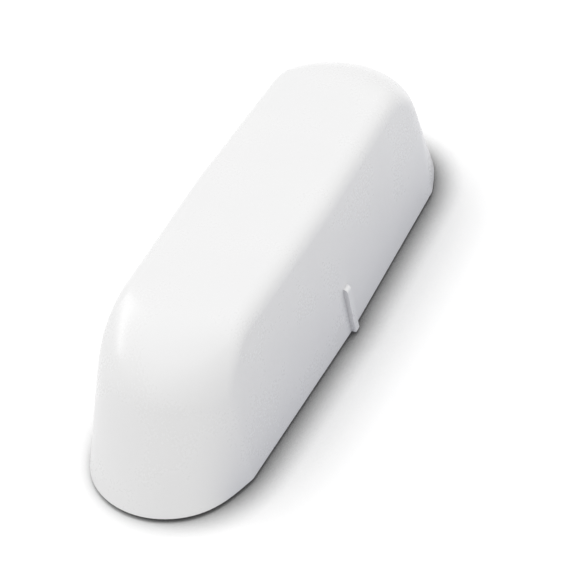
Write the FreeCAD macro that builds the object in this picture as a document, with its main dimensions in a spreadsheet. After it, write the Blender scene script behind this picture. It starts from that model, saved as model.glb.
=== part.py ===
import FreeCAD, Part
import math
import os

import Sketcher

# Door and window sensor, surface mounted, in millimetres.
# The frame: origin at the centre of the flat back, which lies on z = 0.
# X runs along the body, -Y is the side with the alignment mark, +Z is the front.

doc = FreeCAD.newDocument("door_window_sensor")

# Where the side view is placed round an end, in degrees; from the last one it runs straight on
ROUND_STATIONS = (0, 24, 48, 72)

# Driving sizes: name, value, what it is
SIZES = (
    ("body_length", 80.0, "cover, tip to tip, at the back"),
    ("body_width", 23.5, "cover at mid-length, at the back"),
    ("body_height", 20.5, "back to front face"),
    ("side_fall", 1.1, "how much narrower each side is at the tips, at the back"),
    ("front_fall", 0.8, "the same at the front"),
    ("front_width", 18.2, "cover at mid-length, at the front, before its edges are rounded"),
    ("front_length", 63.2, "where the end slopes would meet the front"),
    ("cheek_lean", 6.7, "how much the round ends of the side walls lean in over the height"),
    ("cheek_past", 0.3, "how far those round ends would pass the end slope at the back"),
    ("end_round_radius", 10.3, "round of the end slopes, seen from the front"),
    ("end_bend_radius", 11.8, "large bend from each end slope to the front"),
    ("front_edge_radius", 2.3, "rounding along the front edges and down the corners"),
    ("wall", 1.6, "cover wall"),
    ("mark_height", 7.0, "alignment mark, from the back"),
    ("mark_width", 1.1, "alignment mark along the body"),
    ("mark_proud", 0.6, "how far the mark stands out of the wall"),
    ("plate_gap", 0.2, "base plate to cover, all round"),
    ("plate_thickness", 2.0, "base plate"),
    ("screw_spacing", 67.6, "between the two wall screw holes"),
    ("screw_hole_radius", 1.6, "wall screw hole"),
    ("screw_head_radius", 2.8, "countersink at its wide end"),
    ("notch_width", 6.0, "opening notch in the far tip of the plate"),
    ("notch_depth", 1.2, "opening notch, along the body"),
    ("catch_spacing", 36.0, "between the catches along a side"),
    ("catch_length", 6.0, "catch tab along the body"),
    ("catch_thickness", 1.0, "catch tab across the body"),
    ("catch_height", 4.0, "catch tab above the plate"),
    ("catch_wall_gap", 0.4, "catch tab to the cover wall"),
    ("window_length", 4.0, "window in a catch tab"),
    ("window_height", 1.8, "window in a catch tab"),
    ("window_lift", 1.2, "window above the plate"),
    ("nub_length", 3.2, "nub in the cover that clicks in the window"),
    ("nub_height", 1.0, "nub"),
    ("nub_reach", 0.5, "how far the nub enters the window"),
    ("cell_radius", 7.25, "battery cell"),
    ("cell_length", 25.0, "battery cell with its positive button"),
    ("cell_end", -2.5, "positive end of the cell, from mid-length"),
    ("cell_gap", 0.2, "cell to the plate and to its saddles"),
    ("cell_button_radius", 2.7, "positive button"),
    ("cell_button_length", 1.0, "positive button"),
    ("cell_edge", 0.7, "bevelled ends of the cell can"),
    ("saddle_thickness", 1.5, "cell saddle along the body"),
    ("saddle_height", 4.5, "cell saddle above the plate"),
    ("saddle_width", 15.4, "cell saddle across the body"),
    ("saddle_inset", 4.0, "saddle from the end of the cell"),
    ("holder_wall", 1.0, "upright walls at the ends of the cell"),
    ("holder_width", 10.0, "the same, across the body"),
    ("holder_height", 9.0, "the same, above the plate"),
    ("strip", 0.4, "contact metal"),
    ("strip_width", 2.0, "contact tail across the body"),
    ("strip_offset", 5.6, "contact tail from the middle plane"),
    ("contact_width", 5.0, "contact tongues across the body"),
    ("tongue_half", 4.0, "sprung tongue of the negative contact, half its span"),
    ("spring_depth", 1.3, "bulge of the negative tongue"),
    ("contact_foot", 0.95, "contact foot on the board"),
    ("seat_gap", 0.1, "contact to its wall"),
    ("board_lift", 2.0, "board above the plate"),
    ("board_thickness", 1.0, "circuit board"),
    ("board_end", 29.0, "far edge of the board"),
    ("board_catch_gap", 0.2, "board to the catch tabs"),
    ("board_corner", 3.0, "cut corners at the far edge"),
    ("tongue_wall_gap", 0.3, "board's tongue to the cover wall"),
    ("tongue_width", 3.0, "board's tongue"),
    ("tongue_reach", 8.5, "tongue from mid-length, each way"),
    ("near_screw_along", 4.45, "near board screw from the near edge"),
    ("near_screw_in", 2.1, "near board screw from the side edge"),
    ("far_screw_in", 2.4, "far board screw from the far edge and from the side edge"),
    ("near_pin_along", 2.45, "near locating pin from the near edge"),
    ("near_pin_in", 2.8, "near locating pin from the side edge"),
    ("far_pin_in", 2.2, "far locating pin from the far edge and from the side edge"),
    ("post_radius", 1.8, "posts under the board"),
    ("pin_radius", 0.75, "locating pins on two of the posts"),
    ("pin_height", 1.4, "locating pin above the post"),
    ("pin_gap", 0.1, "locating pin in its hole"),
    ("board_screw_radius", 0.95, "board screw shank"),
    ("board_screw_length", 4.0, "board screw shank"),
    ("board_screw_head", 1.9, "board screw head radius"),
    ("board_screw_head_height", 1.2, "board screw head"),
    ("screw_slot_length", 2.7, "cross slot in the board screw's head"),
    ("screw_slot_depth", 0.5, "the same"),
    ("screw_head_edge", 0.5, "bevelled edge of the board screw's head"),
    ("reed_radius", 0.9, "glass tube of the reed switch"),
    ("reed_bore", 0.6, "inside of the glass tube"),
    ("reed_length", 10.0, "glass tube"),
    ("reed_seal", 1.3, "solid glass at each end of the tube"),
    ("reed_end_edge", 0.3, "bevelled ends of the glass tube"),
    ("reed_wall_gap", 0.35, "glass tube to the cover wall"),
    ("reed_lift", 0.3, "glass tube above the board"),
    ("lead_radius", 0.25, "leads of the reed switch"),
    ("lead_reach", 6.8, "where the leads turn down, from mid-length"),
    ("blade_width", 0.8, "reed blades"),
    ("blade_thickness", 0.15, "reed blades"),
    ("blade_gap", 0.1, "between the reed blades"),
    ("blade_overlap", 1.2, "how far the blades pass each other"),
    ("tamper_x", 10.2, "tamper switch"),
    ("tamper_y", 5.2, "tamper switch"),
    ("tamper_length", 6.0, "tamper switch body"),
    ("tamper_width", 3.6, "tamper switch body"),
    ("tamper_height", 4.0, "tamper switch body"),
    ("plunger_radius", 0.75, "tamper plunger"),
    ("plunger_proud", 1.2, "tamper plunger above its body, cover on"),
    ("plunger_depth", 2.2, "tamper plunger inside its body"),
    ("plunger_edge", 0.25, "bevelled top of the plunger"),
    ("tamper_post_radius", 1.5, "post in the cover that holds the plunger down"),
    ("button_travel", 0.25, "travel of the plunger and of the learn button"),
    ("slide_gap", 0.1, "round the plunger and the learn button"),
    ("post_gap", 0.05, "cover post to the plunger"),
    ("learn_x", 3.7, "learn button"),
    ("learn_y", -1.2, "learn button"),
    ("learn_width", 4.5, "learn button body, square"),
    ("learn_height", 2.2, "learn button body"),
    ("learn_cap_radius", 1.2, "learn button cap"),
    ("learn_cap_height", 2.0, "learn button cap"),
    ("learn_cap_proud", 0.9, "learn button cap above its body"),
    ("chip_x", 9.2, "microcontroller"),
    ("chip_y", -0.7, "microcontroller"),
    ("chip_length", 5.0, "microcontroller"),
    ("chip_width", 4.4, "microcontroller without its pins"),
    ("chip_height", 1.0, "microcontroller"),
    ("pin_reach", 1.0, "pins beyond the sides of the microcontroller"),
    ("pin_shoulder", 0.4, "pins, level part next to the body"),
    ("pin_pitch", 0.65, "microcontroller pins"),
    ("pin_width", 0.3, "microcontroller pins"),
    ("pin_thickness", 0.15, "microcontroller pins"),
    ("crystal_x", 9.5, "crystal"),
    ("crystal_y", -5.7, "crystal"),
    ("crystal_length", 5.0, "crystal"),
    ("crystal_width", 2.5, "crystal"),
    ("crystal_height", 1.1, "crystal"),
    ("crystal_corner", 0.3, "rounded corners of the crystal"),
    ("capacitor_x", 26.7, "capacitor"),
    ("capacitor_y", 0.3, "capacitor"),
    ("capacitor_radius", 2.0, "capacitor"),
    ("capacitor_height", 5.4, "capacitor"),
    ("capacitor_edge", 0.3, "bevelled ends of the capacitor"),
    ("light_x", 13.0, "status light"),
    ("light_length", 3.2, "status light, across the body"),
    ("light_width", 1.6, "status light, along the body"),
    ("light_height", 1.1, "status light"),
    ("light_lens_length", 1.9, "lens of the status light, across the body"),
    ("thin_spot_radius", 2.0, "thinned spot in the cover over the status light"),
    ("thin_spot_depth", 0.9, "the same"),
    ("chip_part_width", 0.8, "small two-ended parts, along the body"),
    ("chip_part_length", 1.6, "the same, across the body"),
    ("chip_part_height", 0.5, "the same"),
    ("chip_part_offset", 0.2, "first of those by the light, from the crystal's middle"),
    ("chip_part_step", 1.7, "from one of them to the next"),
    ("chip_part_gap", 1.5, "crystal to the middle of the first one beside it"),
    ("radio_x", 19.4, "radio board centre"),
    ("radio_length", 9.6, "radio board along the body"),
    ("radio_width", 13.6, "radio board across the body"),
    ("radio_thickness", 0.8, "radio board"),
    ("can_y", -1.8, "shield can centre"),
    ("can_length", 8.0, "shield can along the body"),
    ("can_width", 8.6, "shield can across the body"),
    ("can_height", 2.0, "shield can"),
    ("can_sheet", 0.25, "shield can metal"),
    ("coil_y", 4.8, "antenna coil from the middle plane"),
    ("coil_radius", 1.3, "antenna coil, to the middle of the wire"),
    ("coil_wire", 0.3, "antenna wire, six-sided, middle to corner"),
    ("coil_pitch", 1.6, "antenna coil"),
    ("coil_turns", 4.0, "antenna coil"),
    ("rib_thickness", 1.0, "ribs under the front that hold the cell down"),
    ("rib_width", 11.0, "the same, across the body"),
    ("rib_gap", 0.3, "rib to the cell"),
)


class Size:
    """A length together with the sheet formula that gives it."""

    def __init__(self, value, formula):
        self.value = float(value)
        self.formula = formula

    @staticmethod
    def of(other):
        return other if isinstance(other, Size) else Size(other, repr(float(other)))

    def __add__(self, other):
        other = Size.of(other)
        return Size(self.value + other.value, f"({self.formula} + {other.formula})")

    def __radd__(self, other):
        return Size.of(other) + self

    def __sub__(self, other):
        other = Size.of(other)
        return Size(self.value - other.value, f"({self.formula} - {other.formula})")

    def __rsub__(self, other):
        return Size.of(other) - self

    def __mul__(self, other):
        other = Size.of(other)
        return Size(self.value * other.value, f"({self.formula} * {other.formula})")

    def __rmul__(self, other):
        return Size.of(other) * self

    def __truediv__(self, other):
        other = Size.of(other)
        return Size(self.value / other.value, f"({self.formula} / {other.formula})")

    def __neg__(self):
        return Size(-self.value, f"(0 - {self.formula})")


def root(size):
    """Square root of a size."""
    return Size(math.sqrt(size.value), f"sqrt({size.formula})")


def fill_sheet():
    """Write the driving sizes to the sheet and return them as named sizes."""
    sheet = doc.addObject("Spreadsheet::Sheet", "sizes")
    named = {}
    for row, (name, number, note) in enumerate(SIZES, start=1):
        sheet.set(f"A{row}", name)
        sheet.set(f"B{row}", repr(number))
        sheet.set(f"C{row}", note)
        sheet.setAlias(f"B{row}", name)
        named[name] = Size(number, f"sizes.{name}")
    doc.recompute()
    return named


s = type("Sizes", (), fill_sheet())

zero = Size(0.0, "0")
half_length = s.body_length / 2
half_width = s.body_width / 2
plate_top = s.plate_thickness
board_bottom = plate_top + s.board_lift
board_top = board_bottom + s.board_thickness
cell_start = s.cell_end - s.cell_length
cell_axis_z = plate_top + s.cell_gap + s.cell_radius
holder_far_x = s.cell_end + s.seat_gap / 2 + s.strip + s.seat_gap
board_edge = holder_far_x + s.holder_wall + s.seat_gap + s.strip
front_inside = s.body_height - s.wall
wide = 2 * s.body_width
side_lean = (half_width - s.front_width / 2) / s.body_height


def wall_inside(x, z):
    """Inner face of the cover's side wall, from the middle plane."""
    return half_width - s.wall - s.side_fall * x / half_length - side_lean * z


reed_top = board_top + s.reed_lift + 2 * s.reed_radius
reed_offset = wall_inside(s.reed_length / 2, reed_top) - s.reed_wall_gap - s.reed_radius
tongue_edge = wall_inside(s.tongue_reach, board_top) - s.tongue_wall_gap
catch_end = (s.catch_spacing + s.catch_length) / 2
catch_face = wall_inside(catch_end, plate_top + s.catch_height) - s.catch_wall_gap
board_half = catch_face - s.catch_thickness - s.board_catch_gap

# board fixings: two screws and two locating pins, one of each at either end of the board
screw_seats = (
    (board_edge + s.near_screw_along, board_half - s.near_screw_in),
    (s.board_end - s.far_screw_in, s.far_screw_in - board_half),
)
pin_seats = (
    (board_edge + s.near_pin_along, s.near_pin_in - board_half),
    (s.board_end - s.far_pin_in, board_half - s.far_pin_in),
)


def bind(obj, prop, size):
    """Give a property its value and tie it to the sheet."""
    size = Size.of(size)
    obj.setExpression(prop, size.formula)


def place(obj, x=zero, y=zero, z=zero):
    for axis, size in (("x", x), ("y", y), ("z", z)):
        bind(obj, f".Placement.Base.{axis}", size)


def box(name, x, y, z, length, width, height):
    """A block from its lowest corner."""
    block = doc.addObject("Part::Box", name)
    bind(block, "Length", length)
    bind(block, "Width", width)
    bind(block, "Height", height)
    place(block, x, y, z)
    return block


def middle_box(name, x, y, z, length, width, height):
    """A block from the middle of its lower face."""
    return box(name, x - Size.of(length) / 2, y - Size.of(width) / 2, z, length, width, height)


def cylinder(name, x, y, z, radius, height, turn=None):
    """A round bar that rises from a point, along Z unless it is turned."""
    bar = doc.addObject("Part::Cylinder", name)
    bind(bar, "Radius", radius)
    bind(bar, "Height", height)
    if turn:
        bar.Placement = FreeCAD.Placement(FreeCAD.Vector(), turn)
    place(bar, x, y, z)
    return bar


along_x = FreeCAD.Rotation(FreeCAD.Vector(0, 1, 0), 90)
along_y = FreeCAD.Rotation(FreeCAD.Vector(1, 0, 0), -90)
upright = FreeCAD.Rotation(FreeCAD.Vector(1, 0, 0), 90)


def fuse(name, *pieces):
    joined = doc.addObject("Part::MultiFuse", name)
    joined.Shapes = list(pieces)
    joined.Refine = True
    return joined


def group(name, *pieces):
    """Separate solids that share one node."""
    gathered = doc.addObject("Part::Compound", name)
    gathered.Links = list(pieces)
    return gathered


def cut(name, base, *tools):
    """A piece less one or more tools."""
    tool = tools[0] if len(tools) == 1 else fuse(name + "_tools", *tools)
    left = doc.addObject("Part::Cut", name)
    left.Base = base
    left.Tool = tool
    left.Refine = True
    return left


def common(name, first, second):
    shared = doc.addObject("Part::Common", name)
    shared.Base = first
    shared.Tool = second
    shared.Refine = True
    return shared


def fillet(name, base, radius, wanted, kind="Part::Fillet"):
    """Round the edges of a piece that the test picks."""
    doc.recompute()
    edges = []
    for number, edge in enumerate(base.Shape.Edges, start=1):
        if wanted(edge):
            edges.append((number, radius.value, radius.value))
    worked = doc.addObject(kind, name)
    worked.Base = base
    worked.Edges = edges
    return worked


def bevel(name, base, size, wanted):
    """Break the edges of a piece that the test picks with a flat or a cone."""
    return fillet(name, base, size, wanted, "Part::Chamfer")


def is_ring(edge):
    """The round edge at an end of a bar, not the line along its side."""
    return edge.isClosed() and edge.Length > 1


def is_upright(edge):
    return abs(edge.Vertexes[0].Z - edge.Vertexes[-1].Z) > 0.1


def extrude(name, sketch, direction, length, both_ways=False):
    solid = doc.addObject("Part::Extrusion", name)
    solid.Base = sketch
    solid.DirMode = "Custom"
    solid.Dir = direction
    solid.Solid = True
    solid.Symmetric = both_ways
    bind(solid, "LengthFwd", length)
    return solid


def vector(point):
    return FreeCAD.Vector(Size.of(point[0]).value, Size.of(point[1]).value, 0)


def tie(sketch, kind, *parts_and_size):
    """Add a sketch dimension and tie it to the sheet."""
    *parts, size = parts_and_size
    size = Size.of(size)
    index = sketch.addConstraint(Sketcher.Constraint(kind, *parts, size.value))
    sketch.setExpression(f"Constraints[{index}]", size.formula)


def polygon(name, points, turn=None):
    """A closed straight-sided sketch through the points."""
    sketch = doc.addObject("Sketcher::SketchObject", name)
    if turn:
        sketch.Placement = FreeCAD.Placement(FreeCAD.Vector(), turn)
    count = len(points)
    for index in range(count):
        start, end = vector(points[index]), vector(points[(index + 1) % count])
        sketch.addGeometry(Part.LineSegment(start, end))
    for index in range(count):
        sketch.addConstraint(Sketcher.Constraint("Coincident", index, 2, (index + 1) % count, 1))
    for index, (x, y) in enumerate(points):
        tie(sketch, "DistanceX", -1, 1, index, 1, x)
        tie(sketch, "DistanceY", -1, 1, index, 1, y)
    return sketch


def half_outline(name, length, width, fall, z):
    """Plan outline of one half: the sides draw in from mid-length to a round tip."""
    reach = root(length * length + fall * fall)
    radius = length * (width - fall) / (reach - fall)
    centre = length - radius
    lean = math.asin(fall.value / reach.value)
    touch_x = centre.value + radius.value * math.sin(lean)
    touch_y = radius.value * math.cos(lean)
    quarter = math.pi / 2 - lean
    half = width.value
    sketch = doc.addObject("Sketcher::SketchObject", name)
    place(sketch, z=z)

    def line(x0, y0, x1, y1):
        sketch.addGeometry(Part.LineSegment(FreeCAD.Vector(x0, y0, 0), FreeCAD.Vector(x1, y1, 0)))

    line(0, -half, touch_x, -touch_y)
    ring = Part.Circle(FreeCAD.Vector(centre.value, 0, 0), FreeCAD.Vector(0, 0, 1), radius.value)
    sketch.addGeometry(Part.ArcOfCircle(ring, -quarter, quarter))
    line(touch_x, touch_y, 0, half)
    line(0, half, 0, -half)
    sketch.addConstraint(Sketcher.Constraint("Tangent", 0, 2, 1, 1))
    sketch.addConstraint(Sketcher.Constraint("Tangent", 1, 2, 2, 1))
    sketch.addConstraint(Sketcher.Constraint("Coincident", 2, 2, 3, 1))
    sketch.addConstraint(Sketcher.Constraint("Coincident", 3, 2, 0, 1))
    sketch.addConstraint(Sketcher.Constraint("PointOnObject", 0, 1, -2))
    sketch.addConstraint(Sketcher.Constraint("PointOnObject", 2, 2, -2))
    sketch.addConstraint(Sketcher.Constraint("PointOnObject", 1, 3, -1))
    tie(sketch, "DistanceX", -1, 1, 1, 3, centre)
    tie(sketch, "Radius", 1, radius)
    tie(sketch, "DistanceY", -1, 1, 0, 1, -width)
    tie(sketch, "DistanceY", -1, 1, 2, 2, width)
    return sketch


def side_walls(name, inset):
    """One half within the side walls and their round ends, which lean in towards the front."""
    top = s.body_height + s.seat_gap
    share = top / s.body_height
    foot = half_length + s.cheek_past - inset
    outlines = (
        half_outline(name + "_foot", foot, half_width - inset, s.side_fall, zero),
        half_outline(name + "_top", foot - s.cheek_lean * share, half_width - inset - side_lean * top,
                     s.side_fall + (s.front_fall - s.side_fall) * share, top),
    )
    walls = doc.addObject("Part::Loft", name + "_walls")
    walls.Sections = list(outlines)
    walls.Solid = True
    walls.Ruled = True
    return walls


def side_view(name, inset, x, y):
    """The end slope and its bend to the front, seen from the side, moved to one station."""
    foot = half_length - inset
    front = s.front_length / 2 - inset
    height = s.body_height - inset
    bend = s.end_bend_radius - inset
    run = half_length - s.front_length / 2
    rise = s.body_height
    slope = root(run * run + rise * rise)
    cut_back = bend * rise / (slope + run)
    low = -s.seat_gap
    top_start = height - cut_back * rise / slope
    points = (
        (zero, low),
        (front + run * (height - low) / rise, low),
        (front + cut_back * run / slope, top_start),
        (front - cut_back, height),
        (zero, height),
    )
    sketch = doc.addObject("Sketcher::SketchObject", name)
    sketch.Placement = FreeCAD.Placement(FreeCAD.Vector(), upright)
    places = [vector(point) for point in points]
    centre = vector((front - cut_back, height - bend))
    for start, end in ((0, 1), (1, 2)):
        sketch.addGeometry(Part.LineSegment(places[start], places[end]))
    ring = Part.Circle(centre, FreeCAD.Vector(0, 0, 1), bend.value)
    lean = math.atan2(rise.value, run.value)
    sketch.addGeometry(Part.ArcOfCircle(ring, math.pi / 2 - lean, math.pi / 2))
    for start, end in ((3, 4), (4, 0)):
        sketch.addGeometry(Part.LineSegment(places[start], places[end]))
    joints = ((0, 2, 1, 1), (1, 2, 2, 1), (2, 2, 3, 1), (3, 2, 4, 1), (4, 2, 0, 1))
    for joint in joints:
        sketch.addConstraint(Sketcher.Constraint("Coincident", *joint))
    for (line, end), (across, up) in zip(((0, 1), (1, 1), (1, 2), (3, 1), (4, 1)), points):
        tie(sketch, "DistanceX", -1, 1, line, end, across)
        tie(sketch, "DistanceY", -1, 1, line, end, up)
    tie(sketch, "Radius", 2, bend)
    place(sketch, x, y)
    return sketch


def end_form(name, inset):
    """The side view carried round the end: it keeps its slope and only moves back with the round."""
    radius = s.end_round_radius - inset
    stations = []
    for degrees in ROUND_STATIONS:
        turn = math.radians(degrees)
        stations.append((radius * (math.cos(turn) - 1), radius * math.sin(turn)))
    back, out = stations[-1]
    side_step = (half_width - inset + s.seat_gap - out) / 2
    for steps in (1, 2):
        stations.append((back - side_step * steps * math.tan(turn), out + side_step * steps))
    mirrored = [(x, -y) for x, y in reversed(stations)]
    views = []
    for index, (x, y) in enumerate(mirrored[:-1] + stations):
        views.append(side_view(f"{name}_view_{index}", inset, x, y))
    solid = doc.addObject("Part::Loft", name + "_ends")
    solid.Sections = views
    solid.Solid = True
    solid.Ruled = False
    return solid


def body_half(name, inset):
    """Half of the outer form, or of the hollow when it is inset by the wall."""
    return common(name + "_half", side_walls(name, inset), end_form(name, inset))


def both_halves(name, half):
    """Join a half to its mirror image at mid-length."""
    other = doc.addObject("Part::Mirroring", name + "_mirrored")
    other.Source = half
    other.Normal = FreeCAD.Vector(1, 0, 0)
    return fuse(name, half, other)


def is_crease(shape, edge):
    """A sharp edge, other than those at the back and at mid-length."""
    ends = [vertex.Point for vertex in edge.Vertexes]
    if max(end.z for end in ends) < 1e-3 or max(end.x for end in ends) < 1e-3:
        return False
    middle = edge.valueAt((edge.FirstParameter + edge.LastParameter) / 2)
    normals = []
    for face in shape.Faces:
        if any(edge.isSame(other) for other in face.Edges):
            normals.append(face.normalAt(*face.Surface.parameter(middle)))
    return len(normals) == 2 and normals[0].getAngle(normals[1]) > math.radians(3)


def make_outer():
    half = body_half("outer", zero)
    doc.recompute()
    rounded = fillet(
        "outer_rounded", half, s.front_edge_radius, lambda edge: is_crease(half.Shape, edge))
    return both_halves("outer_form", rounded)


def make_mark():
    """The alignment mark: an upright rib on the -Y side with a rounded upper end."""
    face = half_width + s.mark_proud
    sunk = half_width - s.wall / 2
    lean = side_lean * s.mark_height
    corners = (
        (-sunk, zero),
        (-face, zero),
        (-face + lean, s.mark_height),
        (-sunk + lean, s.mark_height),
    )
    turn = FreeCAD.Rotation(FreeCAD.Vector(1, 1, 1), 120)
    profile = polygon("mark_profile", corners, turn)
    rib = extrude("mark_rib", profile, FreeCAD.Vector(1, 0, 0), s.mark_width, True)
    top = s.mark_height.value
    inner = lean.value - sunk.value

    def is_outer_top(edge):
        ends = [vertex.Point for vertex in edge.Vertexes]
        across = abs(ends[0].x - ends[-1].x) > 1e-6
        at_top = all(abs(end.z - top) < 1e-6 for end in ends)
        return across and at_top and min(end.y for end in ends) < inner - 1e-6

    return fillet("mark", rib, s.mark_proud, is_outer_top)


def four_ways(maker):
    """Run a maker for each of the four catches: along and across the body."""
    made = []
    for along in (1, -1):
        for across in (1, -1):
            made.append(maker(along, across))
    return made


def side_name(along, across):
    return ("far_" if along > 0 else "near_") + ("left" if across > 0 else "right")


def make_nub(along, across):
    """A small block inside the cover that clicks into a catch's window."""
    inner = catch_face - s.nub_reach
    outer = wall_inside(s.catch_spacing / 2, plate_top + s.window_lift) + s.wall / 2
    y = inner if across > 0 else -outer
    x = along * s.catch_spacing / 2 - s.nub_length / 2
    z = plate_top + s.window_lift + (s.window_height - s.nub_height) / 2
    return box("nub_" + side_name(along, across), x, y, z, s.nub_length, outer - inner, s.nub_height)


def make_front_cover():
    """The moulded shell, open at the back."""
    hollow = both_halves("hollow_form", body_half("hollow", s.wall))
    shell = cut("shell", make_outer(), hollow)
    ribs = []
    rib_z = cell_axis_z + s.cell_radius + s.rib_gap
    for name, x in (("near", cell_start + s.saddle_inset),
                    ("far", -s.tongue_reach - s.saddle_thickness)):
        ribs.append(middle_box(f"cell_rib_{name}", x, zero, rib_z, s.rib_thickness, s.rib_width,
                               s.body_height - s.wall / 2 - rib_z))
    post_z = board_top + s.tamper_height + s.plunger_proud + s.post_gap
    post = cylinder("tamper_post", s.tamper_x, s.tamper_y, post_z, s.tamper_post_radius,
                    s.body_height - s.wall / 2 - post_z)
    nubs = four_ways(make_nub)
    solid = fuse("cover_solid", shell, make_mark(), post, *ribs, *nubs)
    thin = cylinder("thin_spot", s.light_x, zero, front_inside - s.wall / 4, s.thin_spot_radius,
                    s.wall / 4 + s.thin_spot_depth)
    return cut("front_cover", solid, thin)


def make_plate():
    """The plate that closes the back, inside the cover's foot and with the same lean."""
    filled = body_half("filled", s.wall + s.plate_gap)
    slab = box("plate_slab", zero, -s.body_width, zero, s.body_length, wide, s.plate_thickness)
    return both_halves("plate", common("plate_half", filled, slab))


def make_catch(along, across):
    """A springy tab with a window, one of four that hold the cover."""
    name = side_name(along, across)
    x = along * s.catch_spacing / 2
    y = across * (catch_face - s.catch_thickness / 2)
    tab = middle_box("tab_" + name, x, y, plate_top - s.seat_gap, s.catch_length, s.catch_thickness,
                     s.catch_height + s.seat_gap)
    window = middle_box("window_" + name, x, y, plate_top + s.window_lift, s.window_length,
                        s.catch_thickness * 2, s.window_height)
    return cut("catch_" + name, tab, window)


def make_saddle(name, x):
    """A cross wall with a round seat for the cell and a slot for the contact tail."""
    wall = middle_box("saddle_wall_" + name, x, zero, plate_top - s.seat_gap, s.saddle_thickness,
                      s.saddle_width, s.saddle_height + s.seat_gap)
    seat = cylinder("saddle_seat_" + name, x - s.saddle_thickness, zero, cell_axis_z,
                    s.cell_radius + s.cell_gap, s.saddle_thickness * 2, along_x)
    slot = middle_box("saddle_slot_" + name, x, s.strip_offset, plate_top - s.seat_gap,
                      s.saddle_thickness * 2, s.strip_width + 4 * s.seat_gap, s.strip * 2 + s.seat_gap)
    return cut("saddle_" + name, wall, seat, slot)


def make_screw_hole(name, x):
    """A countersunk hole for a wall screw, put in from the inside."""
    shaft = cylinder("screw_shaft_" + name, x, zero, -s.plate_thickness, s.screw_hole_radius,
                     s.plate_thickness * 3)
    sink = doc.addObject("Part::Cone", "screw_sink_" + name)
    bind(sink, "Radius1", s.screw_hole_radius)
    bind(sink, "Radius2", s.screw_head_radius)
    bind(sink, "Height", s.screw_head_radius - s.screw_hole_radius)
    place(sink, x, zero, plate_top - (s.screw_head_radius - s.screw_hole_radius))
    return fuse("screw_hole_" + name, shaft, sink)


def make_posts():
    """Posts under the board: two take its screws and two locate it with pins."""
    posts = []
    for index, (x, y) in enumerate(screw_seats + pin_seats):
        posts.append(cylinder(f"post_{index}", x, y, plate_top - s.seat_gap, s.post_radius,
                              s.board_lift + s.seat_gap))
    for index, (x, y) in enumerate(pin_seats):
        posts.append(cylinder(f"pin_{index}", x, y, board_bottom - s.seat_gap, s.pin_radius,
                              s.pin_height + s.seat_gap))
    return posts


def make_base_plate():
    """The back of the housing, with everything that holds the inner pieces."""
    catches = four_ways(make_catch)
    saddles = [
        make_saddle("near", cell_start + s.saddle_inset),
        make_saddle("far", -s.tongue_reach - s.saddle_thickness),
    ]
    near_x = cell_start - s.spring_depth - s.strip - 2 * s.seat_gap - s.holder_wall
    near = middle_box("holder_near", near_x + s.holder_wall / 2, zero, plate_top - s.seat_gap,
                      s.holder_wall, s.holder_width, s.holder_height + s.seat_gap)
    far = middle_box("holder_far", holder_far_x + s.holder_wall / 2, zero, plate_top - s.seat_gap,
                     s.holder_wall, s.strip_offset * 2 - s.strip_width - 4 * s.seat_gap,
                     s.holder_height + s.seat_gap)
    solid = fuse("base_solid", make_plate(), near, far, *catches, *saddles, *make_posts())
    holes = []
    for name, side in (("far", 1), ("near", -1)):
        holes.append(make_screw_hole(name, side * s.screw_spacing / 2))
    for index, (x, y) in enumerate(screw_seats):
        depth = s.board_screw_length - s.board_thickness
        holes.append(cylinder(f"pilot_{index}", x, y, board_bottom - depth, s.board_screw_radius, depth * 2))
    holes.append(middle_box("notch", half_length - s.wall - s.plate_gap, zero, -s.plate_thickness / 2,
                            s.notch_depth * 2, s.notch_width, s.plate_thickness))
    return cut("base_plate", solid, *holes)


def make_battery_cell():
    """A sealed cell lying along the body, its button to the board."""
    can_length = s.cell_length - s.cell_button_length
    can = cylinder("cell_can", cell_start, zero, cell_axis_z, s.cell_radius, can_length, along_x)
    bevelled = bevel("cell_can_bevelled", can, s.cell_edge, is_ring)
    button = cylinder("cell_button", cell_start + can_length - s.seat_gap, zero, cell_axis_z,
                      s.cell_button_radius, s.cell_button_length + s.seat_gap, along_x)
    return fuse("battery_cell", bevelled, button)


def make_positive_contact():
    """A strip hooked over its wall, with a foot on the board."""
    inner = s.cell_end + s.seat_gap / 2
    outer = holder_far_x + s.holder_wall + s.seat_gap
    top = plate_top + s.holder_height + s.seat_gap
    low = cell_axis_z - s.cell_button_radius * 2
    foot_end = board_edge + s.strip + s.contact_foot
    corners = (
        (inner, low),
        (inner + s.strip, low),
        (inner + s.strip, top),
        (outer, top),
        (outer, board_top),
        (foot_end, board_top),
        (foot_end, board_top + s.strip),
        (outer + s.strip, board_top + s.strip),
        (outer + s.strip, top + s.strip),
        (inner, top + s.strip),
    )
    profile = polygon("positive_profile", corners, upright)
    return extrude("battery_contact_positive", profile, FreeCAD.Vector(0, 1, 0), s.contact_width, True)


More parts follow.
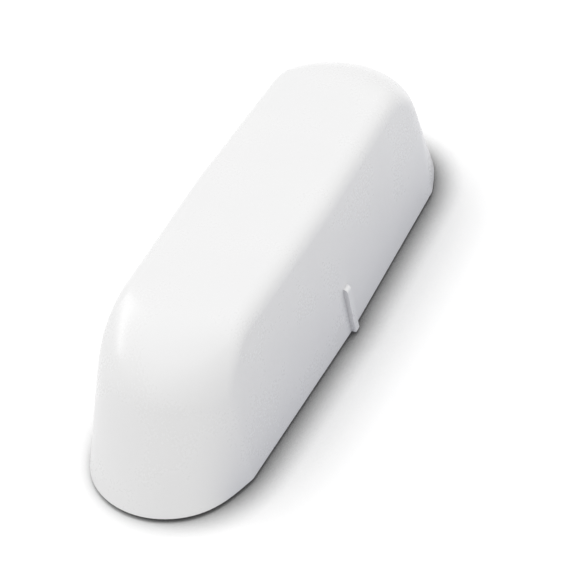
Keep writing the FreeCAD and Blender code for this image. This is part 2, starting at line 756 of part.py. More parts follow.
def make_negative_contact():
    """A plate with a sprung tongue, and a tail along the floor to the board."""
    back = cell_start - s.spring_depth - s.strip - s.seat_gap
    top = plate_top + s.holder_height
    rise_x = board_edge - s.strip - s.seat_gap
    foot_end = board_edge + s.strip + s.contact_foot
    corners = (
        (back, plate_top),
        (rise_x + s.strip, plate_top),
        (rise_x + s.strip, board_top),
        (foot_end, board_top),
        (foot_end, board_top + s.strip),
        (rise_x, board_top + s.strip),
        (rise_x, plate_top + s.strip),
        (back, plate_top + s.strip),
    )
    profile = polygon("tail_profile", corners, upright)
    tail = extrude("negative_tail", profile, FreeCAD.Vector(0, 1, 0), s.strip_width, True)
    bind(tail, ".Placement.Base.y", s.strip_offset)
    plate_low = -s.contact_width / 2
    plate = box("negative_plate", back, plate_low, plate_top, s.strip,
                s.strip_offset + s.strip_width / 2 - plate_low, top - plate_top)
    # the tongue is a bowed strip: an arc of the same metal that stands out of the plate
    bow = (s.tongue_half * s.tongue_half + s.spring_depth * s.spring_depth) / (2 * s.spring_depth)
    centre_x = back + s.strip + s.spring_depth - s.seat_gap / 2 - bow
    centre_z = cell_axis_z
    outer = cylinder("tongue_outer", centre_x, -s.contact_width / 2, centre_z, bow, s.contact_width, along_y)
    inner = cylinder("tongue_inner", centre_x, -s.contact_width, centre_z, bow - s.strip,
                     s.contact_width * 2, along_y)
    ring = cut("tongue_ring", outer, inner)
    zone = middle_box("tongue_zone", back + s.strip / 2 + s.spring_depth, zero, centre_z - s.contact_width,
                      2 * s.spring_depth, s.contact_width * 2, s.contact_width * 2)
    tongue = common("tongue", ring, zone)
    return fuse("battery_contact_negative", tail, plate, tongue)


def make_circuit_board():
    """The board with its tongue beside the cell for the reed switch."""
    edge = board_half
    inner_edge = tongue_edge - s.tongue_width
    corners = (
        (board_edge, -inner_edge),
        (board_edge, edge),
        (s.board_end - s.board_corner, edge),
        (s.board_end, edge - s.board_corner),
        (s.board_end, s.board_corner - edge),
        (s.board_end - s.board_corner, -edge),
        (s.tongue_reach, -edge),
        (s.tongue_reach, -tongue_edge),
        (-s.tongue_reach, -tongue_edge),
        (-s.tongue_reach, -inner_edge),
    )
    outline = polygon("board_outline", corners)
    bind(outline, ".Placement.Base.z", board_bottom)
    slab = extrude("board_slab", outline, FreeCAD.Vector(0, 0, 1), s.board_thickness)
    holes = []
    for index, (x, y) in enumerate(screw_seats):
        holes.append(cylinder(f"board_hole_{index}", x, y, board_bottom - s.board_thickness,
                              s.board_screw_radius + s.pin_gap, s.board_thickness * 3))
    for index, (x, y) in enumerate(pin_seats):
        holes.append(cylinder(f"board_pin_hole_{index}", x, y, board_bottom - s.board_thickness,
                              s.pin_radius + s.pin_gap, s.board_thickness * 3))
    for name, side in (("far", 1), ("near", -1)):
        holes.append(cylinder("lead_hole_" + name, side * s.lead_reach, -reed_offset,
                              board_bottom - s.board_thickness, s.lead_radius + s.seat_gap / 2,
                              s.board_thickness * 3))
    return cut("circuit_board", slab, *holes)


def make_reed_tube():
    """The glass tube of the reed switch, sealed at both ends round its leads."""
    z = board_top + s.reed_lift + s.reed_radius
    x = -s.reed_length / 2
    glass = cylinder("reed_glass", x, -reed_offset, z, s.reed_radius, s.reed_length, along_x)
    bevelled = bevel("reed_glass_bevelled", glass, s.reed_end_edge, is_ring)
    bore = cylinder("reed_inside", x + s.reed_seal, -reed_offset, z, s.reed_bore,
                    s.reed_length - 2 * s.reed_seal, along_x)
    path = cylinder("reed_lead_path", x - s.reed_seal, -reed_offset, z, s.lead_radius,
                    s.reed_length + 2 * s.reed_seal, along_x)
    return cut("reed_tube", bevelled, bore, path)


def make_reed_lead(name, side):
    """One lead: a flat blade in the tube, round wire outside, turned down through the board."""
    z = board_top + s.reed_lift + s.reed_radius
    tube_half = s.reed_length / 2
    inside = tube_half - s.reed_seal
    low = board_bottom - s.board_lift / 2
    start = inside - s.seat_gap if side > 0 else -s.lead_reach
    wire = cylinder("wire_" + name, start, -reed_offset, z, s.lead_radius,
                    s.lead_reach - inside + s.seat_gap, along_x)
    leg = cylinder("leg_" + name, side * s.lead_reach, -reed_offset, low, s.lead_radius, z - low)
    elbow = doc.addObject("Part::Sphere", "elbow_" + name)
    bind(elbow, "Radius", s.lead_radius)
    place(elbow, side * s.lead_reach, -reed_offset, z)
    lift = side * (s.blade_gap + s.blade_thickness) / 2 - s.blade_thickness / 2
    length = inside + s.blade_overlap / 2
    x = -s.blade_overlap / 2 if side > 0 else -inside
    blade = box("blade_" + name, x, -reed_offset - s.blade_width / 2, z + lift, length, s.blade_width,
                s.blade_thickness)
    return fuse("reed_lead_" + name, wire, leg, elbow, blade)


def make_board_screws():
    screws = []
    for index, (x, y) in enumerate(screw_seats):
        low = board_top - s.board_screw_length
        shank = cylinder(f"screw_shank_{index}", x, y, low, s.board_screw_radius, s.board_screw_length)
        head = cylinder(f"screw_head_{index}", x, y, board_top, s.board_screw_head,
                        s.board_screw_head_height)
        bevelled = bevel(f"screw_dome_{index}", head, s.screw_head_edge,
                         lambda edge: is_ring(edge) and edge.Vertexes[0].Z > board_top.value + 1e-3)
        slot_z = board_top + s.board_screw_head_height - s.screw_slot_depth
        slot = middle_box(f"screw_slot_{index}", x, y, slot_z, s.screw_slot_length, s.strip,
                          s.board_screw_head_height)
        across = middle_box(f"screw_cross_{index}", x, y, slot_z, s.strip, s.screw_slot_length,
                            s.board_screw_head_height)
        blank = fuse(f"screw_blank_{index}", shank, bevelled)
        screws.append(cut(f"screw_{index}", blank, slot, across))
    return group("board_screws", *screws)


def make_tamper_switch_body():
    body = middle_box("tamper_block", s.tamper_x, s.tamper_y, board_top, s.tamper_length, s.tamper_width,
                      s.tamper_height)
    depth = s.plunger_depth + 2 * s.button_travel
    well = cylinder("tamper_well", s.tamper_x, s.tamper_y, board_top + s.tamper_height - depth,
                    s.plunger_radius + s.slide_gap, depth * 2)
    return cut("tamper_switch_body", body, well)


def make_tamper_plunger():
    low = board_top + s.tamper_height - s.plunger_depth
    stem = cylinder("plunger_stem", s.tamper_x, s.tamper_y, low, s.plunger_radius,
                    s.plunger_depth + s.plunger_proud)
    high = low.value + 1e-3
    return bevel("tamper_plunger", stem, s.plunger_edge,
                 lambda edge: is_ring(edge) and edge.Vertexes[0].Z > high)


def make_learn_button_body():
    body = middle_box("learn_block", s.learn_x, s.learn_y, board_top, s.learn_width, s.learn_width,
                      s.learn_height)
    depth = s.learn_cap_height - s.learn_cap_proud + 2 * s.button_travel
    well = cylinder("learn_well", s.learn_x, s.learn_y, board_top + s.learn_height - depth,
                    s.learn_cap_radius + s.slide_gap, depth * 2)
    return cut("learn_button_body", body, well)


def make_learn_button_cap():
    low = board_top + s.learn_height + s.learn_cap_proud - s.learn_cap_height
    return cylinder("learn_button_cap", s.learn_x, s.learn_y, low, s.learn_cap_radius, s.learn_cap_height)


def make_microcontroller():
    return middle_box("microcontroller", s.chip_x, s.chip_y, board_top + s.pin_thickness, s.chip_length,
                      s.chip_width, s.chip_height)


def make_microcontroller_pins():
    """Bent pins down both sides of the microcontroller, as many as its length holds."""
    count = int((s.chip_length.value - s.pin_width.value) / s.pin_pitch.value)
    shoulder = board_top + s.pin_thickness + s.chip_height / 2
    half = s.chip_width / 2
    pins = []
    for index in range(count):
        x = s.chip_x + (index - (count - 1) / 2) * s.pin_pitch
        for side in (1, -1):
            name = f"pin_{index}_{'left' if side > 0 else 'right'}"
            corners = (
                (side * half, shoulder),
                (side * (half + s.pin_shoulder), shoulder),
                (side * (half + s.pin_shoulder), board_top),
                (side * (half + s.pin_reach), board_top),
                (side * (half + s.pin_reach), board_top + s.pin_thickness),
                (side * (half + s.pin_shoulder + s.pin_thickness), board_top + s.pin_thickness),
                (side * (half + s.pin_shoulder + s.pin_thickness), shoulder + s.pin_thickness),
                (side * half, shoulder + s.pin_thickness),
            )
            turn = FreeCAD.Rotation(FreeCAD.Vector(1, 1, 1), 120)
            profile = polygon(name + "_profile", corners, turn)
            pin = extrude(name, profile, FreeCAD.Vector(1, 0, 0), s.pin_width, True)
            place(pin, x, s.chip_y, zero)
            pins.append(pin)
    return group("microcontroller_pins", *pins)


def make_crystal():
    can = middle_box("crystal_can", s.crystal_x, s.crystal_y, board_top, s.crystal_length,
                     s.crystal_width, s.crystal_height)
    return fillet("crystal", can, s.crystal_corner, is_upright)


def make_capacitor():
    can = cylinder("capacitor_can", s.capacitor_x, s.capacitor_y, board_top, s.capacitor_radius,
                   s.capacitor_height)
    return bevel("capacitor", can, s.capacitor_edge, is_ring)


def make_status_light():
    foot = middle_box("light_foot", s.light_x, zero, board_top, s.light_width, s.light_length,
                      s.light_height / 2)
    lens = middle_box("light_lens", s.light_x, zero, board_top, s.light_width, s.light_lens_length,
                      s.light_height)
    return fuse("status_light", foot, lens)


def make_chip_parts():
    """Small two-ended parts beside the larger ones."""
    crystal_end = s.crystal_x - s.crystal_length / 2
    places = (
        (s.light_x, s.crystal_y + s.chip_part_offset + s.chip_part_step),
        (s.light_x, s.crystal_y + s.chip_part_offset),
        (crystal_end - s.chip_part_gap, s.crystal_y),
        (crystal_end - s.chip_part_gap - s.chip_part_step, s.crystal_y),
    )
    parts = []
    for index, (x, y) in enumerate(places):
        parts.append(middle_box(f"chip_part_{index}", x, y, board_top, s.chip_part_width, s.chip_part_length,
                                s.chip_part_height))
    return group("chip_parts", *parts)


def make_radio_board():
    return middle_box("radio_board", s.radio_x, zero, board_top, s.radio_length, s.radio_width,
                      s.radio_thickness)


def make_radio_shield():
    """A folded can, open towards the radio board."""
    z = board_top + s.radio_thickness
    can = middle_box("can_outside", s.radio_x, s.can_y, z, s.can_length, s.can_width, s.can_height)
    rounded = fillet("can_rounded", can, s.can_sheet * 2, is_upright)
    inside = middle_box("can_inside", s.radio_x, s.can_y, z - s.can_sheet, s.can_length - 2 * s.can_sheet,
                        s.can_width - 2 * s.can_sheet, s.can_height)
    return cut("radio_shield", rounded, inside)


def make_antenna_coil():
    """A wire coil lying along the body on the radio board."""
    length = s.coil_pitch * s.coil_turns
    helix = doc.addObject("Part::Helix", "coil_path")
    bind(helix, "Pitch", s.coil_pitch)
    bind(helix, "Height", length)
    bind(helix, "Radius", s.coil_radius)
    helix.SegmentLength = 0
    section = doc.addObject("Part::RegularPolygon", "coil_section")
    section.Polygon = 6
    bind(section, "Circumradius", s.coil_wire)
    section.Placement = FreeCAD.Placement(FreeCAD.Vector(s.coil_radius.value, 0, 0), upright)
    bind(section, ".Placement.Base.x", s.coil_radius)
    wire = doc.addObject("Part::Sweep", "antenna_coil")
    wire.Sections = [section]
    wire.Spine = (helix, ["Edge1"])
    wire.Solid = True
    wire.Frenet = True
    wire.Placement = FreeCAD.Placement(FreeCAD.Vector(), along_x)
    place(wire, s.radio_x - length / 2, s.coil_y,
          board_top + s.radio_thickness + s.coil_radius + s.coil_wire + s.seat_gap / 4)
    return wire


NODES = (
    make_front_cover,
    make_base_plate,
    make_battery_cell,
    make_positive_contact,
    make_negative_contact,
    make_circuit_board,
    make_reed_tube,
    lambda: group("reed_leads", make_reed_lead("far", 1), make_reed_lead("near", -1)),
    make_board_screws,
    make_tamper_switch_body,
    make_tamper_plunger,
    make_learn_button_body,
    make_learn_button_cap,
    make_microcontroller,
    make_microcontroller_pins,
    make_crystal,
    make_capacitor,
    make_status_light,
    make_chip_parts,
    make_radio_board,
    make_radio_shield,
    make_antenna_coil,
)


def check(pieces):
    """Stop if any object failed or any sub-part is not a sound solid."""
    failed = [obj.Name for obj in doc.Objects if "Invalid" in obj.State or "Error" in obj.State]
    if failed:
        raise RuntimeError("failed objects: " + ", ".join(failed))
    for piece in pieces:
        shape = piece.Shape
        if shape.isNull() or not shape.isValid() or not shape.Solids:
            raise RuntimeError("not a sound solid: " + piece.Label)


def main():
    pieces = [make() for make in NODES]
    doc.recompute()
    check(pieces)
    os.makedirs("parts", exist_ok=True)
    for piece in pieces:
        piece.Shape.exportStep(os.path.join("parts", piece.Label + ".step"))
        print(piece.Label, len(piece.Shape.Solids), round(piece.Shape.Volume, 2))


main()
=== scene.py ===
import bpy
import math
from mathutils import Matrix, Quaternion, Vector


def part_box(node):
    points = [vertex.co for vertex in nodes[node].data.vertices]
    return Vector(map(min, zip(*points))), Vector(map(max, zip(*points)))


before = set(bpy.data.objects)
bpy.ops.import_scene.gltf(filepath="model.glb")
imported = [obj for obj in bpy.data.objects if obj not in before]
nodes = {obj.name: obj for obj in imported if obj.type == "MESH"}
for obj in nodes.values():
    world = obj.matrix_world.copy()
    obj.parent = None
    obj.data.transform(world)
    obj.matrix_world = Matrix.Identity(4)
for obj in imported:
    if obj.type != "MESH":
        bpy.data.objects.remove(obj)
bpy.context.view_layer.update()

mmPerMetre = 1000.0
noiseLow, noiseHigh = 0.3, 0.7  # nearly all of a noise lies between these
nearSamples = 6  # rays that look for what stands near a point


# Nodes of a material, written as sums

class Socket:
    # an output of a node; sums on it add Math nodes
    def __init__(self, maker, output):
        self.maker = maker
        self.output = output

    def maths(self, operation, *values):
        return self.maker.node("ShaderNodeMath", {"operation": operation}, dict(enumerate(values)))

    def __add__(self, other):
        return self.maths("ADD", self, other)

    def __radd__(self, other):
        return self.maths("ADD", other, self)

    def __sub__(self, other):
        return self.maths("SUBTRACT", self, other)

    def __rsub__(self, other):
        return self.maths("SUBTRACT", other, self)

    def __mul__(self, other):
        return self.maths("MULTIPLY", self, other)

    def __rmul__(self, other):
        return self.maths("MULTIPLY", other, self)

    def __truediv__(self, other):
        return self.maths("DIVIDE", self, other)

    def __rtruediv__(self, other):
        return self.maths("DIVIDE", other, self)

    def __gt__(self, other):
        return self.maths("GREATER_THAN", self, other)

    def __lt__(self, other):
        return self.maths("LESS_THAN", self, other)

    def either(self, other):
        return self.maths("MAXIMUM", self, other)

    def size(self):
        return self.maths("ABSOLUTE", self)

    def fraction(self):
        return self.maths("FRACT", self)

    def beside(self, name):
        # another output of the same node
        return Socket(self.maker, self.output.node.outputs[name])


class Nodes:
    # the nodes of a material or of the world
    def __init__(self, owner):
        owner.use_nodes = True
        self.tree = owner.node_tree
        self.tree.nodes.clear()

    def node(self, kind, settings, sockets, output=0):
        # output is a number or a name, or None for a node that has none
        made = self.tree.nodes.new(kind)
        for name, value in settings.items():
            setattr(made, name, value)
        for name, value in sockets.items():
            if isinstance(value, Socket):
                self.tree.links.new(value.output, made.inputs[name])
            else:
                made.inputs[name].default_value = value
        return None if output is None else Socket(self, made.outputs[output])

    def mix(self, mask, first, second):
        # of a Mix node, 6 and 7 are the two colours going in and 2 the colour coming out
        return self.node("ShaderNodeMix", {"data_type": "RGBA"}, {0: mask, 6: first, 7: second}, 2)

    def seenRay(self):
        # 1 for what the camera sees, straight or in gloss or glass
        path = self.node("ShaderNodeLightPath", {}, {}, "Is Camera Ray")
        return path.either(path.beside("Is Glossy Ray")).either(path.beside("Is Transmission Ray"))


class Finish(Nodes):
    # one material: a Principled shader whose fixed values are set on its own sockets
    def __init__(self, name, fixed):
        self.material = bpy.data.materials.new(name)
        super().__init__(self.material)
        self.shader = self.node("ShaderNodeBsdfPrincipled", {}, fixed)
        self.node("ShaderNodeOutputMaterial", {}, {"Surface": self.shader}, None)
        self.place = self.node("ShaderNodeTexCoord", {}, {}, "Object")

    def put(self, **links):
        # links what changes over the surface
        names = {"colour": "Base Color", "roughness": "Roughness", "metallic": "Metallic",
                 "coat": "Coat Weight", "glow": "Emission Color", "normal": "Normal"}
        shader = self.shader.output.node
        for name, value in links.items():
            self.tree.links.new(value.output, shader.inputs[names[name]])

    def inMm(self, stretch=(1.0, 1.0, 1.0)):
        # the place on the piece in millimetres, so that a pattern's scale is per millimetre
        return self.node("ShaderNodeVectorMath", {"operation": "MULTIPLY"},
                         {0: self.place, 1: [mmPerMetre * factor for factor in stretch]})

    def axis(self, letter):
        # one of the three numbers of that place: X, Y or Z
        return self.node("ShaderNodeSeparateXYZ", {}, {"Vector": self.inMm()}, letter)

    def noise(self, perMm, detail=2.0, rough=0.5, stretch=(1.0, 1.0, 1.0)):
        return self.node("ShaderNodeTexNoise", {}, {"Vector": self.inMm(stretch), "Scale": perMm,
                                                    "Detail": detail, "Roughness": rough})

    def zones(self, perMm):
        # fields that hold one number each, from 0 to 1
        fields = self.node("ShaderNodeTexVoronoi", {},
                           {"Vector": self.inMm(), "Scale": perMm}, "Color")
        return self.node("ShaderNodeSeparateColor", {}, {"Color": fields}, "Red")

    def fit(self, value, fromLow, fromHigh, toLow, toHigh):
        return self.node("ShaderNodeMapRange", {},
                         {"Value": value, "From Min": fromLow, "From Max": fromHigh,
                          "To Min": toLow, "To Max": toHigh})

    def spread(self, value, low, high):
        # a noise as a number from low to high
        return self.fit(value, noiseLow, noiseHigh, low, high)

    def paintedShadeMask(self, look, lean=None):
        # a mask for painted shade, from ambient occlusion: 1 in the open, falling to the dark
        # value in corners and beside what stands near
        sockets = {"Distance": look["reachMm"] / mmPerMetre}
        if lean is not None:
            sockets["Normal"] = lean
        free = self.node("ShaderNodeAmbientOcclusion", {"samples": nearSamples}, sockets, "AO")
        return self.fit(free, look["from"], look["to"], look["dark"], 1.0)

    def bump(self, height, depthMm):
        return self.node("ShaderNodeBump", {},
                         {"Height": height, "Distance": depthMm / mmPerMetre, "Strength": 1.0})


def solid(red, green, blue):
    return (red, green, blue, 1.0)


black = solid(0.0, 0.0, 0.0)
white = solid(1.0, 1.0, 1.0)


def dress(name, finish):
    # gives a part its finish
    for holder in nodes[name].material_slots:
        holder.material = finish.material


def addObject(name, data):
    # a new object in the scene
    made = bpy.data.objects.new(name, data)
    bpy.context.scene.collection.objects.link(made)
    return made


def moulded(name, look):
    # moulded plastic: faint cloudiness in the colour, fine grain from the tool's face, and, where
    # the look has it, painted shade darkening concave corners
    finish = Finish(name, {"IOR": look["ior"], "Specular IOR Level": look["specular"]})
    cloud = finish.noise(look["cloudPerMm"], detail=3.0)
    colour = finish.mix(finish.spread(cloud, 0.0, 1.0), look["colour"], look["shade"])
    # painted shade: ambient occlusion darkens the colour in corners and near the floor
    if "paintedCreaseShade" in look:
        paintedCreaseShade = look["paintedCreaseShade"]
        colour = finish.mix(finish.paintedShadeMask(paintedCreaseShade), paintedCreaseShade["colour"], colour)
    grain = finish.noise(look["grainPerMm"], detail=2.0, rough=0.6)
    roughness = finish.spread(cloud, *look["rough"]) + grain * look["grainRough"]
    finish.put(colour=colour, roughness=roughness)
    finish.put(normal=finish.bump(grain, look["grainDepthMm"]))
    return finish


# The white cover. rough is the lowest and highest roughness, here and below

cover = {
    "colour": solid(0.861, 0.860, 0.860),
    "shade": solid(0.849, 0.848, 0.850),  # the darker clouds
    "ior": 1.50,
    "specular": 0.5,
    "rough": (0.25, 0.28),
    "cloudPerMm": 0.11,
    "grainPerMm": 2.8,
    "grainDepthMm": 0.0018,
    "grainRough": 0.03,  # added where the grain stands up
    "paintedCreaseShade": {"colour": solid(0.30, 0.30, 0.32), "reachMm": 1.2,
               "from": 0.45, "to": 0.90, "dark": 0.55},  # painted shade in concave corners: round the mark, and beside the floor
}
dress("front_cover", moulded("coverPlastic", cover))
print("cover dressed")


# The base plate behind it

base = {
    "colour": solid(0.800, 0.802, 0.806),
    "shade": solid(0.780, 0.783, 0.790),
    "ior": 1.50,
    "specular": 0.5,
    "rough": (0.46, 0.52),
    "cloudPerMm": 0.16,
    "grainPerMm": 3.2,
    "grainDepthMm": 0.012,
    "grainRough": 0.06,
}
dress("base_plate", moulded("basePlastic", base))
print("base plate dressed")


# The battery cell: a green wrap with a pale band, bare metal at both ends

cell = {
    "wrap": solid(0.055, 0.200, 0.145),
    "band": solid(0.74, 0.75, 0.74),
    "bandMm": (-9.5, -6.2),  # where it starts and ends along X
    "steel": solid(0.66, 0.67, 0.68),
    "steelMm": 1.6,  # length left bare at each end
    "scuff": solid(0.30, 0.36, 0.33),
    "scuffMost": 0.12,
    "scuffPerMm": 0.8,
    "rough": (0.26, 0.35),
    "coat": 0.5,
    "coatRough": 0.12,
    "ripplePerMm": 1.5,
    "rippleDepthMm": 0.01,
}


def paintCell():
    finish = Finish("cellWrap", {"Coat Roughness": cell["coatRough"]})
    x = finish.axis("X")
    low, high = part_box("battery_cell")
    middle = (low.x + high.x) / 2 * mmPerMetre
    half = (high.x - low.x) / 2 * mmPerMetre
    bandFrom, bandTo = cell["bandMm"]
    band = (x > bandFrom) * (x < bandTo)
    ends = (x - middle).size() > half - cell["steelMm"]
    scuffs = finish.noise(cell["scuffPerMm"], detail=4.0)
    wrap = finish.mix(band, cell["wrap"], cell["band"])
    scuffed = finish.mix(finish.spread(scuffs, 0.0, cell["scuffMost"]), wrap, cell["scuff"])
    ripple = finish.noise(cell["ripplePerMm"], detail=3.0)
    finish.put(colour=finish.mix(ends, scuffed, cell["steel"]), metallic=ends)
    finish.put(roughness=finish.spread(scuffs, *cell["rough"]), coat=(1 - ends) * cell["coat"])
    finish.put(normal=finish.bump(ripple, cell["rippleDepthMm"]))
    return finish


dress("battery_cell", paintCell())
print("cell dressed")


# Metals: sheet, wire, screws and solder. Stains run long where stretch is small

metals = {
    "springMetal": {"parts": ("battery_contact_positive", "battery_contact_negative"),
                    "colour": solid(0.70, 0.69, 0.66), "stain": solid(0.58, 0.55, 0.50),
                    "rough": (0.20, 0.34), "perMm": 1.1, "stretch": (1.0, 1.0, 0.2),
                    "depthMm": 0.004},
    "leadMetal": {"parts": ("reed_leads",),
                  "colour": solid(0.62, 0.60, 0.56), "stain": solid(0.50, 0.47, 0.42),
                  "rough": (0.18, 0.32), "perMm": 2.5, "stretch": (0.3, 1.0, 1.0),
                  "depthMm": 0.003},
    "screwSteel": {"parts": ("board_screws",),
                   "colour": solid(0.60, 0.60, 0.61), "stain": solid(0.44, 0.43, 0.42),
                   "rough": (0.24, 0.38), "perMm": 2.0, "stretch": (1.0, 1.0, 3.0),
                   "depthMm": 0.006},
    "pinTin": {"parts": ("microcontroller_pins",),
               "colour": solid(0.74, 0.74, 0.75), "stain": solid(0.60, 0.60, 0.60),
               "rough": (0.24, 0.38), "perMm": 6.0, "stretch": (1.0, 1.0, 1.0),
               "depthMm": 0.004},
    "crystalCan": {"parts": ("crystal",),
                   "colour": solid(0.76, 0.76, 0.77), "stain": solid(0.66, 0.66, 0.67),
                   "rough": (0.14, 0.28), "perMm": 3.0, "stretch": (0.15, 1.0, 1.0),
                   "depthMm": 0.003},
    "shieldMetal": {"parts": ("radio_shield",),
                    "colour": solid(0.72, 0.73, 0.74), "stain": solid(0.62, 0.62, 0.62),
                    "rough": (0.26, 0.40), "perMm": 2.4, "stretch": (0.12, 1.0, 1.0),
                    "depthMm": 0.005},
    "antennaWire": {"parts": ("antenna_coil",),
                    "colour": solid(0.72, 0.43, 0.22), "stain": solid(0.55, 0.30, 0.15),
                    "rough": (0.16, 0.30), "perMm": 1.6, "stretch": (1.0, 1.0, 1.0),
                    "depthMm": 0.003},
}
for name, look in metals.items():
    finish = Finish(name, {"Metallic": 1.0})
    stain = finish.noise(look["perMm"], detail=4.0, rough=0.55, stretch=look["stretch"])
    finish.put(colour=finish.mix(finish.spread(stain, 0.0, 1.0), look["colour"], look["stain"]))
    finish.put(roughness=finish.spread(stain, *look["rough"]))
    finish.put(normal=finish.bump(stain, look["depthMm"]))
    for part in look["parts"]:
        dress(part, finish)
print("metals dressed")


# The circuit board: solder mask, tracks under it, bare edges

board = {
    "mask": solid(0.012, 0.115, 0.050),
    "track": solid(0.022, 0.185, 0.080),
    "edge": solid(0.36, 0.34, 0.16),
    "specular": 0.55,
    "rough": (0.24, 0.34),
    "edgeRough": 0.3,  # added on the edges
    "edgeBelow": 0.5,  # a face is an edge where its normal stands up less than this
    "trackPitchMm": 1.27,
    "trackWidth": 0.30,  # share of the pitch
    "trackDepthMm": 0.03,
    "zonePerMm": 0.16,
    "zoneFrom": 0.45,  # a field whose number is above this has tracks
    "fibrePerMm": 5.0,
    "fibreStretch": (0.2, 1.0, 2.0),
    "fibreHeight": 0.15,  # share of a track's height
}


def paintBoard():
    finish = Finish("boardGreen", {"Specular IOR Level": board["specular"]})
    normal = finish.node("ShaderNodeNewGeometry", {}, {}, "Normal")
    upright = finish.node("ShaderNodeSeparateXYZ", {}, {"Vector": normal}, "Z").size()
    edge = upright < board["edgeBelow"]
    bands = (finish.axis("Y") / board["trackPitchMm"]).fraction()
    chosen = finish.zones(board["zonePerMm"]) > board["zoneFrom"]
    track = (bands < board["trackWidth"]) * chosen
    colour = finish.mix(track, board["mask"], board["track"])
    fibre = finish.noise(board["fibrePerMm"], stretch=board["fibreStretch"])
    finish.put(colour=finish.mix(edge, colour, board["edge"]))
    finish.put(roughness=finish.spread(fibre, *board["rough"]) + edge * board["edgeRough"])
    finish.put(normal=finish.bump(track + fibre * board["fibreHeight"], board["trackDepthMm"]))
    return finish


dress("circuit_board", paintBoard())
print("board dressed")


# Small moulded, glazed and sintered parts

smallParts = {
    "switchBlack": {"parts": ("tamper_switch_body", "learn_button_body"),
                    "colour": solid(0.020, 0.020, 0.022), "shade": solid(0.030, 0.030, 0.033),
                    "rough": (0.38, 0.47), "perMm": 4.0, "depthMm": 0.008},
    "plungerWhite": {"parts": ("tamper_plunger",),
                     "colour": solid(0.78, 0.78, 0.76), "shade": solid(0.72, 0.72, 0.70),
                     "rough": (0.34, 0.43), "perMm": 4.0, "depthMm": 0.005},
    "capPlastic": {"parts": ("learn_button_cap",),
                   "colour": solid(0.55, 0.035, 0.025), "shade": solid(0.47, 0.028, 0.022),
                   "rough": (0.32, 0.41), "perMm": 4.0, "depthMm": 0.005},
    "chipResin": {"parts": ("microcontroller",),
                  "colour": solid(0.022, 0.022, 0.024), "shade": solid(0.042, 0.042, 0.044),
                  "rough": (0.51, 0.60), "perMm": 7.0, "depthMm": 0.012},
    "chipCeramic": {"parts": ("chip_parts",),
                    "colour": solid(0.42, 0.33, 0.22), "shade": solid(0.34, 0.27, 0.18),
                    "rough": (0.46, 0.55), "perMm": 5.0, "depthMm": 0.006},
    "radioLaminate": {"parts": ("radio_board",),
                      "colour": solid(0.012, 0.035, 0.120), "shade": solid(0.018, 0.050, 0.165),
                      "rough": (0.24, 0.33), "perMm": 1.2, "depthMm": 0.010},
}
for name, look in smallParts.items():
    finish = Finish(name, {"IOR": 1.52})
    cloud = finish.noise(look["perMm"], detail=3.0)
    finish.put(colour=finish.mix(finish.spread(cloud, 0.0, 1.0), look["colour"], look["shade"]))
    finish.put(roughness=finish.spread(cloud, *look["rough"]))
    finish.put(normal=finish.bump(cloud, look["depthMm"]))
    for part in look["parts"]:
        dress(part, finish)
print("small parts dressed")


# The capacitor: a sleeve with a pale stripe, bare aluminium on top

can = {
    "sleeve": solid(0.020, 0.024, 0.040),
    "stripe": solid(0.62, 0.64, 0.66),
    "stripeFromMm": 1.3,  # from the middle of the can, along X
    "top": solid(0.78, 0.78, 0.79),
    "topMm": 0.35,  # height that the sleeve leaves bare
    "ior": 1.5,
    "rough": (0.26, 0.36),
    "wearPerMm": 3.0,
    "wearDepthMm": 0.006,
}


def paintCan():
    finish = Finish("capacitorCan", {"IOR": can["ior"]})
    low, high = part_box("capacitor")
    middle = (low.x + high.x) / 2 * mmPerMetre
    stripe = (finish.axis("X") - middle) > can["stripeFromMm"]
    top = finish.axis("Z") > high.z * mmPerMetre - can["topMm"]
    wear = finish.noise(can["wearPerMm"], detail=3.0)
    side = finish.mix(stripe, can["sleeve"], can["stripe"])
    finish.put(colour=finish.mix(top, side, can["top"]), metallic=top)
    finish.put(roughness=finish.spread(wear, *can["rough"]))
    finish.put(normal=finish.bump(wear, can["wearDepthMm"]))
    return finish


dress("capacitor", paintCan())
print("capacitor dressed")


# Clear pieces: the reed switch's glass and the lens of the light

clearPieces = {
    "clearGlass": {"part": "reed_tube", "colour": solid(0.93, 0.96, 0.94),
                   "rough": (0.02, 0.05), "ior": 1.47},
    "lightLens": {"part": "status_light", "colour": solid(0.80, 0.84, 0.78),
                  "rough": (0.12, 0.15), "ior": 1.50},
}
swirlLook = {"colour": solid(0.85, 0.90, 0.87), "most": 0.3, "perMm": 0.9, "depthMm": 0.01}
for name, look in clearPieces.items():
    finish = Finish(name, {"IOR": look["ior"], "Transmission Weight": 1.0})
    swirl = finish.noise(swirlLook["perMm"])
    tint = finish.spread(swirl, 0.0, swirlLook["most"])
    finish.put(colour=finish.mix(tint, look["colour"], swirlLook["colour"]))
    finish.put(roughness=finish.spread(swirl, *look["rough"]))
    finish.put(normal=finish.bump(swirl, swirlLook["depthMm"]))
    dress(look["part"], finish)
print("clear pieces dressed")


# Floor: a pale sweep, seen as plain white, that keeps the shadow, with painted shadows darkening
# its colour round the foot

floorLook = {
    "half": 3.0,  # metres
    "drop": 0.0006,  # metres below the back, for the dark line along the foot
    "seen": white,
    "unseen": solid(0.45, 0.45, 0.45),  # what lights the object from below
    "cool": solid(0.09, 0.11, 0.20),  # the same, in a strip beside the side with the mark
    "coolYMm": (-45.0, -10.0),
    "coolPastXMm": -36.0,
    "contact": {"reachMm": 4.4, "from": 0.33, "to": 0.92, "dark": 0.14},  # painted shadow in the floor's colour, close to the foot
    "paintedSoftShadow": {"reachMm": 15.0, "from": 0.30, "to": 0.98, "dark": 0.60},  # painted soft shadow in the floor's colour, round it
    "lean": 0.55,  # turns both painted shadows to that same side
    "lift": 0.20,  # glow that keeps the open floor white
}


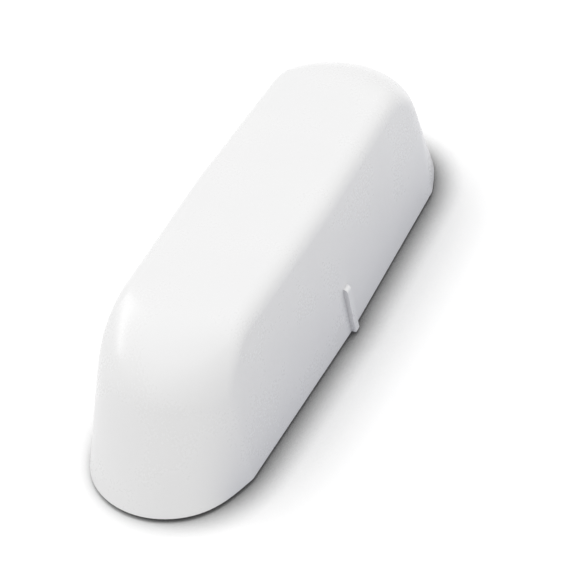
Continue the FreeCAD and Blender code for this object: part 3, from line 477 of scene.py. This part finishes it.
def makeFloor():
    half, height = floorLook["half"], -floorLook["drop"]
    mesh = bpy.data.meshes.new("floor")
    corners = [(-half, -half, height), (half, -half, height),
               (half, half, height), (-half, half, height)]
    mesh.from_pydata(corners, [], [(0, 1, 2, 3)])
    floor = addObject("floor", mesh)
    finish = Finish("paleFloor", {"Roughness": 1.0, "Specular IOR Level": 0.0,
                                  "Emission Strength": floorLook["lift"]})
    seen = finish.seenRay()
    x, y = finish.axis("X"), finish.axis("Y")
    coolLow, coolHigh = floorLook["coolYMm"]
    strip = (y < coolHigh) * (y > coolLow) * (x > floorLook["coolPastXMm"])
    bounce = finish.mix(strip, floorLook["unseen"], floorLook["cool"])
    lean = finish.node("ShaderNodeCombineXYZ", {}, {"Y": floorLook["lean"], "Z": 1.0})
    # painted shadow: ambient occlusion darkens the floor's seen colour and its glow near the
    # object
    contact = finish.paintedShadeMask(floorLook["contact"], lean)
    clear = contact * finish.paintedShadeMask(floorLook["paintedSoftShadow"], lean)
    shown = finish.mix(clear, black, floorLook["seen"])
    finish.put(colour=finish.mix(seen, bounce, shown))
    finish.put(glow=finish.mix(seen * clear, black, white))
    mesh.materials.append(finish.material)


makeFloor()
print("floor laid")


# World: white where it is seen, a little less as light

worldLook = {"seen": white, "ambient": solid(0.79, 0.79, 0.79)}


def makeWorld():
    world = bpy.data.worlds.new("studio")
    bpy.context.scene.world = world
    sky = Nodes(world)
    shade = sky.mix(sky.seenRay(), worldLook["ambient"], worldLook["seen"])
    back = sky.node("ShaderNodeBackground", {}, {"Color": shade, "Strength": 1.0})
    sky.node("ShaderNodeOutputWorld", {}, {"Surface": back}, None)


makeWorld()


# Lamps: angles in degrees, widths and heights in metres

lamps = {
    "key": {"around": 120.0, "above": 55.0, "turn": 0.0,
            "wide": 0.25, "high": 0.25, "watts": 0.02},
    "rim": {"around": 93.0, "above": 35.0, "turn": -38.0,
            "wide": 0.56, "high": 0.036, "watts": 0.68},  # the streak on the near bend
    "side": {"around": 300.0, "above": 50.0, "turn": 0.0,
             "wide": 0.75, "high": 0.75, "watts": 0.71},
    "end": {"around": 190.0, "above": 35.0, "turn": 0.0,
            "wide": 0.75, "high": 0.75, "watts": 0.57},
}
lampDistance = 0.60  # metres


def direction(around, above):
    # a unit vector, from an angle round the object and one above the floor, in degrees
    around, above = math.radians(around), math.radians(above)
    return Vector((math.cos(around) * math.cos(above),
                   math.sin(around) * math.cos(above), math.sin(above)))


def makeLamp(name, look):
    data = bpy.data.lights.new(name, "AREA")
    data.shape = "RECTANGLE"
    data.size = look["wide"]
    data.size_y = look["high"]
    data.energy = look["watts"]
    lamp = addObject(name, data)
    out = direction(look["around"], look["above"])
    spin = Quaternion((0, 0, 1), math.radians(look["turn"]))
    lamp.location = out * lampDistance
    lamp.rotation_mode = "QUATERNION"
    lamp.rotation_quaternion = out.to_track_quat("Z", "Y") @ spin


for name, look in lamps.items():
    makeLamp(name, look)
print("studio lit")


# Camera, at the photograph's angle

shot = {
    "azimuth": 28.117,  # degrees, as the next two
    "elevation": 42.309,
    "roll": -5.014,
    "distance": 0.32734,  # metres
    "lens": 153.743,  # millimetres, as the next
    "sensor": 36.0,
    "shiftX": 0.03118,  # shares of the picture's width, as the next
    "shiftY": 0.02915,
    "clipFrom": 0.01,  # metres, as the next
    "clipTo": 20.0,
}


def makeCamera():
    data = bpy.data.cameras.new("camera")
    data.sensor_width = shot["sensor"]
    data.lens = shot["lens"]
    data.shift_x = shot["shiftX"]
    data.shift_y = shot["shiftY"]
    data.clip_start = shot["clipFrom"]
    data.clip_end = shot["clipTo"]
    camera = addObject("camera", data)
    bpy.context.scene.camera = camera
    azimuth, roll = math.radians(shot["azimuth"]), math.radians(shot["roll"])
    ahead = direction(shot["azimuth"], -shot["elevation"])  # the way the camera looks
    level = Vector((math.sin(azimuth), -math.cos(azimuth), 0.0))
    upright = level.cross(ahead)
    across = level * math.cos(roll) + upright * math.sin(roll)
    top = upright * math.cos(roll) - level * math.sin(roll)
    turn = Matrix((across, top, -ahead)).transposed().to_4x4()
    camera.matrix_world = Matrix.Translation(ahead * -shot["distance"]) @ turn


makeCamera()
bpy.context.scene.view_settings.view_transform = "Standard"
print("camera set")
